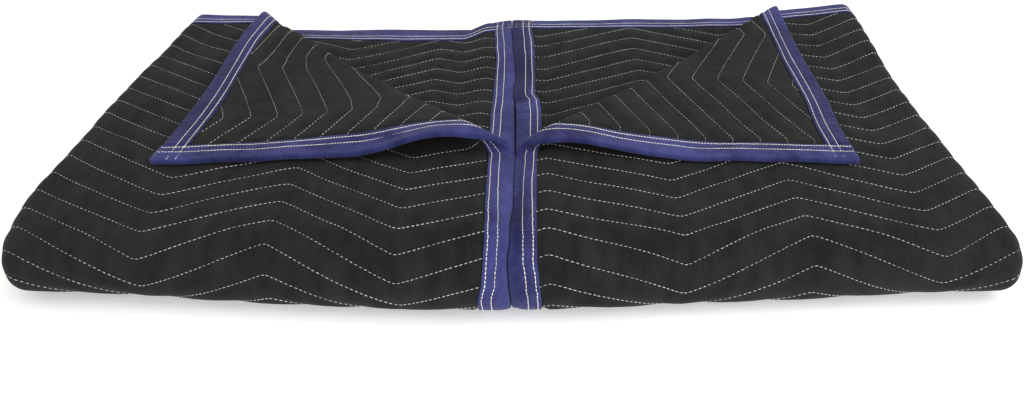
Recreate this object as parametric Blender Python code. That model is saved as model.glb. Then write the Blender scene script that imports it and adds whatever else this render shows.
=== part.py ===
# A quilted moving blanket, 72 x 80 in, folded to eight layers as it is stored: in half,
# both sides over to the middle, in half again with the sides outward, and the two loose
# corners on top turned down at 45 degrees. The round fold is at -Y, the hems are at +Y.
#
# Each piece is cut flat first: across (X, side to side), along (Y, head to foot) and
# up (Z, through the cloth). The same folds then carry every point of every piece.
from math import pi, sqrt

import bmesh
import bpy
import numpy as np
from mathutils import Vector

# Driving sizes, metres
blanketWidth = 1.83
blanketLength = 2.032
clothThick = 0.0072
layerGap = 0.0012
leafGap = 0.0020  # between the upper and the lower four layers
seamGap = 0.0030  # between the side bindings, where they meet along the middle

bindingWidth = 0.026
bindingThick = 0.0011
bindingHalf = 0.0032  # from the middle of the cloth to the binding's outer face
bindingRound = 0.0014
bindingClear = 0.0008  # from a binding's inner edge to where the cloth starts to swell
hemRamp = 0.0062  # over which the pressed hem grows to the full thickness
pieceGap = 0.0003

quiltSpacing = 0.0280  # from one stitched zigzag to the next
quiltHalfWave = 0.1175
quiltRise = 0.050
quiltDepth = 0.0022
rollQuilted = 0.75  # share of the round fold, from the top, that is quilted outside

frontSteps = 8
sideSteps = 6
halfSteps = 4
turnSteps = 6
leafLines = (0.10, 0.20, 0.30, 0.38)  # light cuts across the flat of each leaf, from the hem
settleLines = (0.025, 0.070, 0.130, 0.190)  # and past the bend of a turned corner
cutSnap = 0.00001
edgeSnap = 0.0002
sharpAngle = pi / 3

# How far the quilting goes on under a turned corner and past its bend, and how far from
# the lower flap's hem, which lies uneven, it starts
coverMargin = 0.04
bareMargin = 0.03
bareHem = 0.06
quiltFade = 0.012

# How far past a turned corner its cuts still reach, on both sides of the bend's first
# line, and on the turned side alone
cornerReach = 0.1
bendReach = 0.2

# The two sides differ a little. Distances across are from the side's own edge.
leftSide = {
    "sign": -1,
    "turned": 0.354,  # the hem's length on the corner that is turned down
    "middleRadius": 0.0150,  # of the bend, at the pack's middle
    "hemRadius": 0.0044,  # and pressed flat at the hem
    "humpReach": 0.60,  # share of the bend over which it comes down
    "settleRun": 0.250,  # past the bend, over which the turned cloth comes down
    "lean": 0.009,  # how far the turned hem leans inward half way along
    "hemForward": 0.009,  # how far the turned side edge is drawn forward
    "tipForward": 0.0,
    "quiltPoint": 0.1010,  # first forward point of the zigzag
    "quiltStart": 0.0090,  # first stitched row, from the hem
    "quiltTilt": 0.105,  # how far the rows come forward, for each metre inward
}
rightSide = {
    "sign": 1,
    "turned": 0.341,
    "middleRadius": 0.0100,
    "hemRadius": 0.0044,
    "humpReach": 0.50,
    "settleRun": 0.130,
    "lean": 0.0,
    "hemForward": 0.020,
    "tipForward": 0.002,
    "quiltPoint": 0.1475,
    "quiltStart": 0.0045,
    "quiltTilt": 0.040,
}
sides = (leftSide, rightSide)

# The turned side edge hangs down where it stands clear of the layer below
droopFrom = 0.12  # share of the bend, from the pack's middle
droopRun = 0.12
droopReach = 0.035  # from the edge
droopShare = 0.60

# How the pack settles under its own weight: reaches in metres, the rest in shares
settle = {
    "frontReach": 0.30,  # how far back from the round fold the cloth moves
    "noseReach": 0.12,  # the round fold itself
    "endsFrom": 0.22,  # where the slimmer ends begin, from the middle
    "endsReach": 0.24,
    "endsSquash": 0.08,
    "endsLift": 0.004,
    "endsSpread": 0.020,
    "middlePlace": -0.03,  # the fullest place lies left of the middle
    "middleReach": 0.22,
    "middleSwell": 0.22,
    "middleForward": 0.018,
    "underForward": 0.012,  # the lower layers creep forward in the round fold
    "underEven": 0.7,
    "backFrom": (0.28, 0.05),  # the slack back corner on the right, across and back
    "backReach": (0.18, 0.20),
    "backLift": 0.007,
    "drift": 0.010,  # the hems lie left of the round fold
    "driftHalf": 0.5,
    "leftSwell": 0.017,  # how far the left side fold bows outward half way back
    "leftFrom": 0.25,
    "leftReach": 0.20,
}
centreShift = (0.0052, 0.0070)  # puts the origin under the middle of the settled pack

# Worked out from the sizes above
pitch = clothThick + layerGap
halfRadius = pitch / 2
sideRadius = 1.5 * pitch
frontRadius = 3.5 * pitch + leafGap / 2
halfReach = blanketLength / 2 - pi * halfRadius / 2
sideStart = (blanketWidth / 2 - pi * sideRadius + seamGap / 2) / 2
sideEnd = sideStart + pi * sideRadius
frontStart = (halfReach + halfRadius - pi * frontRadius) / 2
frontEnd = frontStart + pi * frontRadius
packDepth = frontStart + 4 * pitch + leafGap / 2
packHeight = 8 * pitch + leafGap
hemLine = packDepth / 2
bendLine = hemLine - frontStart
hemInset = bindingThick + pieceGap
hemHalf = bindingHalf - hemInset
hemInner = bindingWidth + bindingClear
hemOuter = hemInner + hemRamp

# Hems lie unevenly: how far each is set back from the flush line, at the turns of the
# quilting, from the left side's edge to the right side's
hemPlaces = ("leftEdge", "leftFirst", "leftSecond", "leftThird", "leftFold", "leftBody",
             "rightBody", "rightFold", "rightThird", "rightFirst", "rightEdge")
headHem = dict(zip(hemPlaces, (0, 0, 0, 0.004, 0.004, 0.004, -0.010, -0.010, -0.008, -0.008, 0)))
footHem = dict(zip(hemPlaces, (0, 0.027, 0.027, 0.024, 0, 0, 0.006, 0.006, -0.006, -0.002, 0)))


def soft(value):
    # 0 to 1 with level ends
    value = np.clip(value, 0.0, 1.0)
    return value * value * (3 - 2 * value)


def pick(sign, name):
    # the left or the right side's value, for arrays of points
    return np.where(sign < 0, leftSide[name], rightSide[name])


def hemShift(hem, across):
    left = -blanketWidth / 2
    right = blanketWidth / 2
    firstLeft = left + leftSide["quiltPoint"]
    firstRight = right - rightSide["quiltPoint"]
    places = {
        "leftEdge": left + hemOuter,
        "leftFirst": firstLeft,
        "leftSecond": firstLeft + quiltHalfWave,
        "leftThird": firstLeft + 2 * quiltHalfWave,
        "leftFold": -sideEnd,
        "leftBody": -sideStart,
        "rightBody": sideStart,
        "rightFold": sideEnd,
        "rightThird": firstRight - 2 * quiltHalfWave,
        "rightFirst": firstRight,
        "rightEdge": right - hemOuter,
    }
    return np.interp(across, [places[name] for name in hem], list(hem.values()))


# The folds come next. Each takes all the points at once.
def foldInHalf(across, along, up):
    # the foot half comes up and over onto the head half
    past = along - blanketLength / 2
    before = past < -pi * halfRadius / 2
    after = past > pi * halfRadius / 2
    angle = np.clip(past / halfRadius, -pi / 2, pi / 2)
    reach = halfReach + (halfRadius - up) * np.cos(angle)
    height = pitch + (halfRadius - up) * np.sin(angle)
    reach = np.where(before, along, np.where(after, blanketLength - along, reach))
    height = np.where(before, pitch / 2 + up, np.where(after, 1.5 * pitch - up, height))
    return reach, height


def foldSides(across, height):
    # both sides come up and over, and their edges meet along the middle
    out = np.abs(across)
    radius = 2 * pitch - height
    angle = np.clip((out - sideStart) / sideRadius, 0, pi)
    side = np.where(out < sideStart, out, sideStart + radius * np.sin(angle))
    level = np.where(out < sideStart, height, 2 * pitch - radius * np.cos(angle))
    side = np.where(out > sideEnd, sideStart - (out - sideEnd), side)
    level = np.where(out > sideEnd, 4 * pitch - height, level)
    return side, level


def foldFront(reach, level):
    # in half again, with the sides outward and the round fold at the front
    radius = level + leafGap / 2
    angle = np.clip((reach - frontStart) / frontRadius, 0, pi)
    y = np.where(reach < frontStart, hemLine - reach, bendLine - radius * np.sin(angle))
    z = np.where(reach < frontStart, radius, radius * np.cos(angle))
    y = np.where(reach > frontEnd, bendLine + (reach - frontEnd), y)
    z = np.where(reach > frontEnd, -radius, z)
    return y, z + 4 * pitch + leafGap / 2


def bendAt(sign, distance, reach):
    # the bend of a turned corner: how far along it a place of the flap lies, from the
    # pack's middle to the hem, its radius there, and how far past its start the place is
    turned = pick(sign, "turned")
    hemward = np.clip((distance - reach + turned) / (2 * turned), 0, 1)
    radius = pick(sign, "middleRadius")
    radius = radius + (pick(sign, "hemRadius") - radius) * soft(hemward / pick(sign, "humpReach"))
    past = (turned + pi * radius / sqrt(2) - distance - reach) / sqrt(2)
    return hemward, radius, past


def turnCorners(sign, x, y, z, loose):
    # the loose corners on top come forward and down over a 45 degree bend
    middle = packHeight - pitch / 2
    distance = x - seamGap / 2
    hemward, radius, past = bendAt(sign, distance, hemLine - y)
    angle = np.clip(past / radius, 0, pi)
    bent = (radius - (z - middle)) * np.sin(angle)
    raised = middle + radius - (radius - (z - middle)) * np.cos(angle)
    flat = past > pi * radius
    settled = soft((past - pi * radius) / pick(sign, "settleRun")) * flat
    droop = droopShare * (1 - soft(distance / droopReach)) * soft((hemward - droopFrom) / droopRun)
    bent = np.where(flat, pi * radius - past, bent)
    raised = np.where(flat, middle + 2 * radius - (z - middle), raised)
    raised = raised - (2 * radius - pitch) * (1 - (1 - settled) * (1 - droop)) * flat
    newX = x - (bent - past) / sqrt(2)
    newY = y + (bent - past) / sqrt(2)
    # the turned cloth lies a little askew
    turned = pick(sign, "turned")
    back = soft((newY - hemLine + turned) / turned)
    forward = pick(sign, "hemForward") + pick(sign, "tipForward") * newX / turned
    newX = newX - pick(sign, "lean") * 4 * back * (1 - back) * settled
    newY = newY - forward * (1 - back) * settled
    goes = loose & (past > 0)
    return np.where(goes, newX, x), np.where(goes, newY, y), np.where(goes, raised, z)


def settlePack(x, y, z):
    # the pack's own weight: a fuller middle, a sagging round fold, slimmer ends
    z = z - layerGap / 2
    share = z / packHeight
    ahead = soft(1 - (y + hemLine) / settle["frontReach"])
    nose = soft(1 - (y + hemLine) / settle["noseReach"])
    ends = soft((np.abs(x) - settle["endsFrom"]) / settle["endsReach"])
    middle = np.exp(-(((x - settle["middlePlace"]) / settle["middleReach"]) ** 2))
    backX = soft((x - settle["backFrom"][0]) / settle["backReach"][0])
    backY = soft((y - settle["backFrom"][1]) / settle["backReach"][1])
    z = z * (1 - settle["endsSquash"] * ends * ahead + settle["middleSwell"] * middle * ahead)
    z = z + settle["endsLift"] * ends * ahead * (1 - share)
    z = z + settle["backLift"] * backX * backY * share
    y = y - settle["middleForward"] * middle * ahead
    y = y - settle["underForward"] * (1 - share) * nose * (1 - settle["underEven"] * ends)
    x = x * (1 + settle["endsSpread"] * ends * ahead)
    drift = settle["drift"] * soft((y + hemLine) / packDepth)
    x = x - drift * (1 - (x / settle["driftHalf"]) ** 2)
    back = np.clip((y + hemLine) / packDepth, 0, 1)
    outer = soft((-x - settle["leftFrom"]) / settle["leftReach"])
    x = x - settle["leftSwell"] * 4 * back * (1 - back) * outer
    return x + centreShift[0], y + centreShift[1], z


def foldBlanket(across, along, up):
    sign = np.where(across < 0, -1, 1)
    flap = np.abs(across) > (sideStart + sideEnd) / 2
    head = along < blanketLength / 2
    reach, height = foldInHalf(across, along, up)
    side, level = foldSides(across, height)
    y, z = foldFront(reach, level)
    loose = flap & head & (reach < frontStart)
    side, y, z = turnCorners(sign, side, y, z, loose)
    return settlePack(side * sign, y, z)


# The quilting, on the faces that show
def quiltColumns(side):
    # where the zigzag turns, as distances from the side's edge
    point = side["quiltPoint"]
    places = [hemOuter]
    while point < blanketWidth / 2 - sideEnd:
        places.append(point)
        point += quiltHalfWave
    fold = np.linspace(blanketWidth / 2 - sideEnd, blanketWidth / 2 - sideStart, sideSteps + 1)
    nearest = fold[np.argmin(np.abs(fold - point))]
    if nearest < fold[-1]:
        places.append(float(nearest))
    places.append(float(fold[-1]))
    return places


def zigzagAt(side, distance):
    # how far the zigzag stands forward, straight between its turns
    places = np.array(quiltColumns(side))
    inward = places - side["quiltPoint"]
    wave = np.abs(np.mod(inward / quiltHalfWave, 2) - 1)
    shift = hemShift(headHem, side["sign"] * (blanketWidth / 2 - places))
    rise = quiltRise * wave - side["quiltTilt"] * inward
    return np.interp(distance, places, rise + shift + side["quiltStart"])


def quiltRow(side, distance, along):
    # a whole number on each stitched row
    return (along - zigzagAt(side, distance)) / quiltSpacing


def quiltMargin(side, distance, along, top):
    # how far inside the quilting that shows a place lies, negative outside: on the inner
    # face (top), where a corner is turned down and where it lays the flap below bare, and
    # on the outer face from the hem to the underside of the round fold, but not under a
    # turned corner
    reach = min(along, blanketLength - along)
    turned = side["turned"]
    if min(distance, reach) < hemOuter - edgeSnap:
        return -1.0
    if top and along > blanketLength / 2:
        return min(turned + bareMargin - distance - reach, reach - bareHem)
    if top:
        return turned - distance - reach
    lowest = frontStart + rollQuilted * (frontEnd - frontStart)
    return min(lowest - along, max(along, distance) - turned + coverMargin)


def quiltDrop(side, distance, along, top):
    # pressed in at the stitches, full thickness half way between two rows
    margin = quiltMargin(side, distance, along, top)
    ridge = abs(2 * (quiltRow(side, distance, along) % 1) - 1)
    return quiltDepth * ridge * min(max(margin / quiltFade, 0.0), 1.0)


# Flat pieces and their cuts
def flatBlock(low, high):
    mesh = bmesh.new()
    bmesh.ops.create_cube(mesh, size=1.0)
    low = Vector(low)
    high = Vector(high)
    for vert in mesh.verts:
        vert.co = Vector((low[i] + (vert.co[i] + 0.5) * (high[i] - low[i]) for i in range(3)))
    return mesh


def cut(mesh, point, normal, wanted=None):
    faces = [f for f in mesh.faces if wanted is None or wanted(f.calc_center_median(), f.normal)]
    parts = dict.fromkeys(faces)
    for face in faces:
        parts.update(dict.fromkeys(face.edges))
        parts.update(dict.fromkeys(face.verts))
    bmesh.ops.bisect_plane(
        mesh, geom=list(parts), dist=cutSnap, plane_co=point, plane_no=normal
    )


def cutAcross(mesh, place):
    cut(mesh, (place, 0, 0), (1, 0, 0))


def cutAlong(mesh, place):
    cut(mesh, (0, place, 0), (0, 1, 0))


def cutBetween(mesh, first, last, wanted):
    # straight through two points of the flat cloth
    run = Vector((last[0] - first[0], last[1] - first[1], 0))
    cut(mesh, (first[0], first[1], 0), (-run.y, run.x, 0), wanted)


def sideFoldLines():
    # the bends of both sides, and where the cloth is full past the side bindings
    lines = [float(line) for line in np.linspace(sideStart, sideEnd, sideSteps + 1)]
    lines.append(blanketWidth / 2 - hemOuter)
    return [sign * line for sign in (-1, 1) for line in lines]


def quiltLines():
    # turns of the zigzag on the flaps, and the same places on the layers below them
    lines = []
    for side in sides:
        for distance in quiltColumns(side)[1:-1]:
            if distance < blanketWidth / 2 - sideEnd:
                lines.append(side["sign"] * (blanketWidth / 2 - distance))
                lines.append(side["sign"] * distance)
    return lines


def frontFoldLines():
    lines = np.linspace(frontStart, frontEnd, frontSteps + 1)
    return [float(line) for line in lines] + [blanketLength - float(line) for line in lines]


def halfFoldLines():
    span = pi * halfRadius / 2
    middle = blanketLength / 2
    return [float(line) for line in np.linspace(middle - span, middle + span, halfSteps + 1)]


def leafFoldLines():
    upper = list(leafLines)
    lower = [frontStart + frontEnd - line for line in leafLines]
    return upper + lower + [blanketLength - line for line in upper + lower]


def cutTurnedCorner(mesh, side):
    size = side["turned"]
    sign = side["sign"]

    def place(hemward, angle, more=0.0):
        # the flat place at this share along the bend, this far round it and past it
        share = float(soft(hemward / side["humpReach"]))
        radius = side["middleRadius"] + (side["hemRadius"] - side["middleRadius"]) * share
        total = size + sqrt(2) * (radius * (pi / 2 - angle) - more)
        spread = (2 * hemward - 1) * size
        return (sign * (blanketWidth / 2 - (total + spread) / 2), (total - spread) / 2)

    def corner(low, high, extra):
        # faces of the head half near this corner, from one share of the bend to another
        def wanted(centre, normal):
            distance = blanketWidth / 2 - sign * centre.x
            if max(distance, centre.y) > size + cornerReach or centre.y > blanketLength / 2:
                return False
            hemward, radius, past = bendAt(np.array([sign]), distance, centre.y)
            return low <= hemward[0] <= high and past[0] > -extra

        return wanted

    parts = (0.0, side["humpReach"] / 2, side["humpReach"], 1.0)
    for share in parts[1:-1]:
        cutBetween(mesh, place(share, 0.0), place(share, pi), corner(0.0, 1.0, bendReach))
    lines = [(pi * i / turnSteps, 0.0) for i in range(turnSteps + 1)]
    lines += [(pi, more) for more in settleLines]
    for low, high in zip(parts[:-1], parts[1:]):
        for angle, more in lines:
            reach = bendReach if angle == 0 else 0.0
            cutBetween(mesh, place(low, angle, more), place(high, angle, more), corner(low, high, reach))


def cutFolds(mesh):
    for place in frontFoldLines() + halfFoldLines() + leafFoldLines():
        cutAlong(mesh, place)
    for side in sides:
        cutTurnedCorner(mesh, side)


def cutQuilting(mesh, side):
    # stitched rows and the crests between them, straight from turn to turn
    sign = side["sign"]
    places = quiltColumns(side)

    def band(near, far, middle):
        # faces between two turns that this row can cross, where the quilting shows
        def wanted(centre, normal):
            distance = blanketWidth / 2 - sign * centre.x
            if not near < distance < far or abs(centre.y - middle) > 2 * quiltHalfWave:
                return False
            if abs(normal.z) < abs(normal.y) + abs(normal.x):
                return False
            return quiltMargin(side, distance, centre.y, normal.z > 0) > 0

        return wanted

    halfRows = range(-4, int(2 * blanketLength / quiltSpacing))
    for near, far in zip(places[:-1], places[1:]):
        starts = zigzagAt(side, np.array([near, far]))
        for row in halfRows:
            lift = row * quiltSpacing / 2
            first = (sign * (blanketWidth / 2 - near), float(starts[0]) + lift)
            last = (sign * (blanketWidth / 2 - far), float(starts[1]) + lift)
            cutBetween(mesh, first, last, band(near, far, (first[1] + last[1]) / 2))


def pressQuilting(mesh):
    stitched = set()
    for vert in mesh.verts:
        side = leftSide if vert.co.x < 0 else rightSide
        distance = blanketWidth / 2 - abs(vert.co.x)
        if distance > blanketWidth / 2 - sideStart - edgeSnap:
            continue
        top = vert.co.z > 0
        row = quiltRow(side, distance, vert.co.y)
        drop = quiltDrop(side, distance, vert.co.y, top)
        vert.co.z -= drop if top else -drop
        if drop > quiltDepth / 2 and abs(row - round(row)) * quiltSpacing < edgeSnap:
            stitched.add(vert)
    for edge in mesh.edges:
        edge.smooth = not stitched.issuperset(edge.verts)


def pressHems(mesh):
    # thin and straight inside the bindings, full past them
    for vert in mesh.verts:
        reach = min(vert.co.y, blanketLength - vert.co.y)
        distance = min(blanketWidth / 2 - abs(vert.co.x), reach)
        if distance < hemInner + edgeSnap:
            vert.co.z *= hemHalf / (clothThick / 2)


def shiftHems(mesh):
    for vert in mesh.verts:
        if vert.co.y < leafLines[0] / 2:
            vert.co.y += float(hemShift(headHem, vert.co.x))
        if vert.co.y > blanketLength - leafLines[0] / 2:
            vert.co.y -= float(hemShift(footHem, vert.co.x))


# Finished pieces
def fabric(name, colour, roughness):
    material = bpy.data.materials.new(name)
    material.use_nodes = True
    shader = material.node_tree.nodes["Principled BSDF"]
    shader.inputs["Base Color"].default_value = colour
    shader.inputs["Roughness"].default_value = roughness
    shader.inputs["Metallic"].default_value = 0.0
    return material


def splitFaces(mesh, corners):
    # into triangles, the faces with this many corners or more
    faces = [face for face in mesh.faces if len(face.verts) >= corners]
    bmesh.ops.triangulate(mesh, faces=faces, quad_method="SHORT_EDGE")


def finish(mesh, name, material):
    points = np.array([vert.co[:] for vert in mesh.verts])
    x, y, z = foldBlanket(points[:, 0], points[:, 1], points[:, 2])
    for vert, place in zip(mesh.verts, np.stack([x, y, z], axis=1)):
        vert.co = Vector(place)
    bmesh.ops.reverse_faces(mesh, faces=mesh.faces[:])  # head to foot runs toward -Y
    splitFaces(mesh, 4)  # once folded, so that layers that touch are split alike
    mesh.edges.index_update()
    stitched = [edge.index for edge in mesh.edges if not edge.smooth]
    data = bpy.data.meshes.new(name)
    mesh.to_mesh(data)
    mesh.free()
    data.shade_smooth()
    data.set_sharp_from_angle(angle=sharpAngle)
    for number in stitched:
        data.edges[number].use_edge_sharp = True
    data.materials.append(material)
    piece = bpy.data.objects.new(name, data)
    bpy.context.scene.collection.objects.link(piece)
    return piece


def makePanel(material):
    half = blanketWidth / 2 - hemInset
    low = (-half, hemInset, -clothThick / 2)
    high = (half, blanketLength - hemInset, clothThick / 2)
    mesh = flatBlock(low, high)
    for edge in (hemInner, blanketWidth - hemInner):
        cutAcross(mesh, edge - blanketWidth / 2)
    for edge in (hemInner, hemOuter, blanketLength - hemOuter, blanketLength - hemInner):
        cutAlong(mesh, edge)
    for place in sideFoldLines() + quiltLines():
        cutAcross(mesh, place)
    pressHems(mesh)
    shiftHems(mesh)
    cutFolds(mesh)
    for side in sides:
        cutQuilting(mesh, side)
    splitFaces(mesh, 5)
    pressQuilting(mesh)
    return finish(mesh, "quilted_panel", material)


def bindingSection():
    # a folded tape seen from its end, open toward the cloth: distance in from its edge, height
    outer = bindingHalf
    inner = bindingHalf - bindingThick
    rounded = bindingRound
    return [
        (bindingWidth, -inner), (bindingWidth, -outer), (rounded, -outer), (0.0, -outer + rounded),
        (0.0, outer - rounded), (rounded, outer), (bindingWidth, outer), (bindingWidth, inner),
        (bindingThick, inner), (bindingThick, -inner),
    ]


def makeBinding(name, place, start, end, material):
    # place turns a distance from the edge and a run along it into the flat cloth's X and Y
    mesh = bmesh.new()
    verts = [mesh.verts.new((*place(distance, start), up)) for distance, up in bindingSection()]
    face = mesh.faces.new(verts)
    pulled = bmesh.ops.extrude_face_region(mesh, geom=[face])
    travel = Vector((*place(0, end), 0)) - Vector((*place(0, start), 0))
    moved = [item for item in pulled["geom"] if isinstance(item, bmesh.types.BMVert)]
    bmesh.ops.translate(mesh, verts=moved, vec=travel)
    bmesh.ops.recalc_face_normals(mesh, faces=mesh.faces[:])
    for turn in sideFoldLines() + quiltLines():
        cutAcross(mesh, turn)
    shiftHems(mesh)
    cutFolds(mesh)
    splitFaces(mesh, 5)
    return finish(mesh, name, material)


def makeBindings(material):
    inside = blanketWidth / 2 - bindingWidth - pieceGap
    makeBinding("binding_left", lambda d, run: (d - blanketWidth / 2, run), 0, blanketLength, material)
    makeBinding("binding_right", lambda d, run: (blanketWidth / 2 - d, run), 0, blanketLength, material)
    makeBinding("binding_head", lambda d, run: (run, d), -inside, inside, material)
    makeBinding("binding_foot", lambda d, run: (run, blanketLength - d), -inside, inside, material)


for leftover in list(bpy.data.objects):
    bpy.data.objects.remove(leftover, do_unlink=True)

makePanel(fabric("charcoal_cloth", (0.017, 0.018, 0.016, 1.0), 0.92))
makeBindings(fabric("purple_binding", (0.055, 0.045, 0.19, 1.0), 0.80))
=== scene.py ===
# The looks of a folded, quilted moving blanket: its cloth, its sewn bindings and their
# threads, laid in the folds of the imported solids.
from math import ceil, pi, radians, sqrt

import bmesh
import bpy
import numpy as np
from mathutils import Matrix


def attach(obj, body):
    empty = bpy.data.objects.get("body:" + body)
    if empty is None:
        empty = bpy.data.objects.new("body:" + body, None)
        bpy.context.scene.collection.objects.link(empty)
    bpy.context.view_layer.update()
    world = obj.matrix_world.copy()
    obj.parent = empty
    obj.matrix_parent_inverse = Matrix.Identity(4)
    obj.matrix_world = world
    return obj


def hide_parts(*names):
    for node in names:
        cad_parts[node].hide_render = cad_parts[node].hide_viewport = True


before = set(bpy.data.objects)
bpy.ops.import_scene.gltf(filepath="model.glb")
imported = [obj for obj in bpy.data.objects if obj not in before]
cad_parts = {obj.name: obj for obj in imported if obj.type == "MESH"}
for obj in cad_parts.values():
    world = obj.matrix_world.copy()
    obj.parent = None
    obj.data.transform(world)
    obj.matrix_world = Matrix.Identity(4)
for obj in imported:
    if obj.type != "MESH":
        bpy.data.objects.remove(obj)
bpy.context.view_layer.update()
print("frame loaded")

# Camera at the photo's angle: the lens as a focal length on a 36 mm wide sensor
photoView = {
    "lens": 26.65,
    "sensor": 36.0,
    "lookDown": 37.06,  # degrees
    "place": (0.0362, -0.7393, 0.4968),
    "sideShift": -0.0352,  # in widths of the picture
}


def makeCamera(settings):
    data = bpy.data.cameras.new("photo_camera")
    data.lens = settings["lens"]
    data.sensor_width = settings["sensor"]
    data.shift_x = settings["sideShift"]
    data.clip_start = 0.01
    camera = bpy.data.objects.new("photo_camera", data)
    camera.location = settings["place"]
    camera.rotation_euler = (radians(90 - settings["lookDown"]), 0, 0)
    bpy.context.scene.collection.objects.link(camera)
    bpy.context.scene.camera = camera


makeCamera(photoView)


# The blanket's cut and its folds, in metres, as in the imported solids
cloth = {
    "width": 1.83,
    "length": 2.032,
    "thick": 0.0072,
    "layerGap": 0.0012,
    "leafGap": 0.0020,  # between the upper and the lower four layers
    "seamGap": 0.0030,  # between the side bindings, where they meet
}
pitch = cloth["thick"] + cloth["layerGap"]
halfWidth = cloth["width"] / 2
halfLength = cloth["length"] / 2
halfRadius = pitch / 2
sideRadius = 1.5 * pitch
frontRadius = 3.5 * pitch + cloth["leafGap"] / 2
halfReach = halfLength - pi * halfRadius / 2
sideStart = (halfWidth - pi * sideRadius + cloth["seamGap"] / 2) / 2
sideEnd = sideStart + pi * sideRadius
frontStart = (halfReach + halfRadius - pi * frontRadius) / 2
frontEnd = frontStart + pi * frontRadius
packDepth = frontStart + 4 * pitch + cloth["leafGap"] / 2
packHeight = 8 * pitch + cloth["leafGap"]
hemLine = packDepth / 2
bendLine = hemLine - frontStart

# The two sides differ a little. Distances across are from the side's own edge.
leftSide = {
    "turned": 0.354,  # the hem's length on the corner that is turned down
    "seamBack": 0.017,  # so much less of it right at the seam
    "seamRadius": 0.0055,  # of the bend, right at the seam
    "middleRadius": 0.0150,  # a little way out, where it stands highest
    "hemRadius": 0.0044,  # and pressed flat at the hem
    "humpReach": 0.60,  # share of the bend over which it comes down
    "settleRun": 0.250,  # past the bend, over which the turned cloth comes down
    "lean": 0.009,  # how far the turned hem leans inward half way along
    "hemForward": 0.009,  # how far the turned side edge is drawn forward
    "tipForward": 0.0,
    "quiltPoint": 0.1000,  # first forward point of the zigzag
    "quiltStart": 0.0173,  # first stitched row, from the hem
    "quiltTilt": 0.136,  # how far the rows come forward, for each metre inward
    "cornerPoint": 0.0780,  # the same two for the rows on the turned corner, which don't tilt
    "cornerStart": 0.0126,
}
rightSide = {
    "turned": 0.341,
    "seamBack": 0.003,
    "seamRadius": 0.0045,
    "middleRadius": 0.0100,
    "hemRadius": 0.0044,
    "humpReach": 0.50,
    "settleRun": 0.130,
    "lean": 0.0,
    "hemForward": 0.020,
    "tipForward": 0.002,
    "quiltPoint": 0.1500,
    "quiltStart": 0.0074,
    "quiltTilt": 0.054,
    "cornerPoint": 0.1480,
    "cornerStart": 0.0054,
}

hump = {"seamReach": 0.10}  # share of the bend over which it rises from the seam

# The turned side edge hangs down where it stands clear of the layer below
hemDroop = {"from": 0.12, "run": 0.12, "reach": 0.035, "share": 0.70}

# How far each hem is set back from the flush line, by place across the blanket
hemPlaces = (-0.882, -0.842, -0.6965, -0.579, -sideEnd, -sideStart,
             sideStart, sideEnd, 0.5325, 0.7675, 0.882)
headSetBack = (0, 0, 0, 0.004, 0.004, 0.004, -0.010, -0.010, -0.008, -0.008, 0)
footSetBack = (0, 0.027, 0.027, 0.024, 0, 0, 0.006, 0.006, -0.006, -0.002, 0)
slide = {"headFrom": 0.50, "headRun": 0.40, "footFrom": 0.05, "footRun": 0.45}  # how it fades inward

# How the pack settles under its own weight
settle = {
    "frontReach": 0.30,
    "noseReach": 0.12,
    "endsFrom": 0.22,
    "endsReach": 0.24,
    "endsSquash": 0.08,
    "endsLift": 0.004,
    "endsSpread": 0.010,
    "leftNose": 0.0075,  # how far the left side swells near the front
    "noseAt": 0.18,
    "leftNoseReach": 0.10,
    "middlePlace": -0.03,
    "middleReach": 0.22,
    "middleSwell": 0.22,
    "middleForward": 0.018,
    "underForward": 0.012,
    "underEven": 0.7,
    "backFrom": (0.28, 0.05),
    "backReach": (0.18, 0.20),
    "backLift": 0.017,
    "drift": 0.010,
    "driftHalf": 0.5,
    "leftSwell": 0.017,  # how far the left side fold bows outward half way back
    "leftFrom": 0.25,
    "leftReach": 0.20,
    "centreShift": (0.0052, 0.0070),
    "lumpSize": 0.085,  # soft unevenness of the whole stack
    "lumpHeight": 0.0022,
    "fineTimes": 2.3,  # so many times finer ones lie over it
    "fineShare": 0.4,
}

# How far the back edge stands up, from left to right, and where that starts on the way back
backEdge = {
    "places": (-0.46, -0.355, -0.320, -0.050, -0.012, 0.05, 0.30, 0.36, 0.47),
    "rise": (0.007, 0.007, 0.001, 0.001, 0.006, 0.007, 0.0065, 0.0, 0.0),
    "from": 0.10,
    "run": 0.13,
}

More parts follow.
